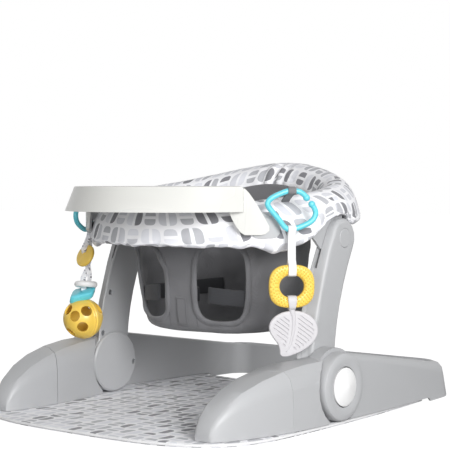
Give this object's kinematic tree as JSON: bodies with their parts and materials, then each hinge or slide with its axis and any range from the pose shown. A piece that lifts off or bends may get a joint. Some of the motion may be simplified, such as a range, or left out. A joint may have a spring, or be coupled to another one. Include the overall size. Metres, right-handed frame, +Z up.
{
  "type": "infant floor seat",
  "caption": "Infant floor seat: padded ring with hanging seat on swinging arms over a floor mat base, clip-on tray and hanging toys.",
  "frame": {"origin": "centre of the footprint, on the floor", "axes": "+Z up, +Y towards the rear bar (the child faces -Y), +X to the seat's side with the leaf teether"},
  "size_m": [0.5234, 0.653, 0.3749],
  "materials": {
    "grey_plastic": "fine satin grain, light cool grey",
    "white_plastic": "satin, near white",
    "steel": "plain zinc-plated",
    "mat_cloth": "printed woven polyester, grey shapes on white",
    "cover_cloth": "printed woven polyester over padding, grey shapes on white",
    "seat_cloth": "plain woven polyester, dark grey",
    "webbing": "ribbed webbing, dark grey",
    "black_plastic": "satin black",
    "tray_plastic": "smooth satin, warm white",
    "loop_cloth": "grey webbing",
    "teal_plastic": "semi-gloss aqua",
    "yellow_plastic": "semi-gloss golden yellow",
    "ribbon_cloth": "white woven tape",
    "leaf_plastic": "soft off-white rubber",
    "white_bead": "semi-gloss white"
  },
  "bodies": {
    "base": {"rear_frame": "grey_plastic", "foot_nose_right": "grey_plastic", "foot_nose_left": "grey_plastic", "foot_heel_right": "grey_plastic", "foot_heel_left": "grey_plastic", "hub_disc_right": "grey_plastic", "hub_disc_left": "grey_plastic", "hub_pin_right": "steel", "hub_pin_left": "steel", "button_spring_right": "steel", "button_spring_left": "steel", "floor_mat": "mat_cloth"},
    "arms": {"arm_inner_shell_right": "grey_plastic", "arm_inner_shell_left": "grey_plastic", "arm_outer_shell_right": "grey_plastic", "arm_outer_shell_left": "grey_plastic", "arm_hub_cover_right": "grey_plastic", "arm_hub_cover_left": "grey_plastic", "pivot_pin_right": "steel", "pivot_pin_left": "steel", "pivot_cap_right": "grey_plastic", "pivot_cap_left": "grey_plastic", "arm_screw_upper_right": "steel", "arm_screw_upper_left": "steel", "arm_screw_lower_right": "steel", "arm_screw_lower_left": "steel", "hub_cover_screw_right": "steel", "hub_cover_screw_left": "steel"},
    "ring": {"ring_frame": "grey_plastic", "ring_bracket_right": "grey_plastic", "ring_bracket_left": "grey_plastic", "ring_cover": "cover_cloth", "tray_receiver_right": "grey_plastic", "tray_receiver_left": "grey_plastic", "seat_bucket": "seat_cloth", "waist_strap_right": "webbing", "waist_strap_left": "webbing", "crotch_strap": "webbing", "harness_buckle": "black_plastic", "toy_loop_right": "loop_cloth", "toy_loop_left": "loop_cloth"},
    "tray": {"tray": "tray_plastic"},
    "button_right": {"release_button_right": "white_plastic"},
    "button_left": {"release_button_left": "white_plastic"},
    "link_right": {"toy_link_right": "teal_plastic"},
    "link_left": {"toy_link_left": "teal_plastic"},
    "toy_right": {"ribbon_right": "ribbon_cloth", "teether_ring": "yellow_plastic"},
    "leaf": {"leaf_teether": "leaf_plastic"},
    "toy_left": {"ribbon_left": "ribbon_cloth", "disc_bead": "yellow_plastic", "ring_bead": "white_bead", "block_bead": "teal_plastic", "rattle_ball": "yellow_plastic"}
  },
  "joints": [
    {"name": "arm_fold", "type": "hinge", "parent": "base", "child": "arms", "pos_m": [0, -0.0425, 0.0548], "axis": [-1, 0, 0], "range_deg": [0, 46]},
    {"name": "ring_tilt", "type": "hinge", "parent": "arms", "child": "ring", "pos_m": [0, 0.0145, 0.261], "axis": [-1, 0, 0], "range_deg": [-46, 0]},
    {"name": "tray_slide", "type": "slide", "parent": "ring", "child": "tray", "axis": [0, -1, 0], "range_m": [0, 0.08]},
    {"name": "button_right_press", "type": "slide", "parent": "base", "child": "button_right", "axis": [-1, 0, 0], "range_m": [0, 0.004], "stiffness_N_per_m": 600, "springref_m": -0.002, "deforming": ["button_spring_right"]},
    {"name": "button_left_press", "type": "slide", "parent": "base", "child": "button_left", "axis": [1, 0, 0], "range_m": [0, 0.004], "stiffness_N_per_m": 600, "springref_m": -0.002, "deforming": ["button_spring_left"]},
    {"name": "link_right_swing", "type": "hinge", "parent": "ring", "child": "link_right", "pos_m": [0.203, -0.0995, 0.3296], "axis": [-0.6428, -0.766, 0], "range_deg": [0, 25]},
    {"name": "link_left_swing", "type": "hinge", "parent": "ring", "child": "link_left", "pos_m": [-0.192, -0.1065, 0.3216], "axis": [-0.342, 0.9397, 0], "range_deg": [0, 25]},
    {"name": "toy_right_swing", "type": "hinge", "parent": "link_right", "child": "toy_right", "pos_m": [0.203, -0.0995, 0.276], "axis": [-0.6428, -0.766, 0], "range_deg": [0, 101.2]},
    {"name": "toy_left_swing", "type": "hinge", "parent": "link_left", "child": "toy_left", "pos_m": [-0.192, -0.1065, 0.268], "axis": [-0.342, 0.9397, 0], "range_deg": [0, 101.2]},
    {"name": "leaf_swing", "type": "hinge", "parent": "toy_right", "child": "leaf", "pos_m": [0.203, -0.0995, 0.197], "axis": [0.766, -0.6428, 0], "range_deg": [-8, 8]}
  ],
  "couplings": [
    {"joint": "ring_tilt", "follows": "arm_fold", "ratio": -1},
    {"joint": "toy_right_swing", "follows": "arm_fold", "ratio": 2.2},
    {"joint": "toy_left_swing", "follows": "arm_fold", "ratio": 2.2}
  ]
}
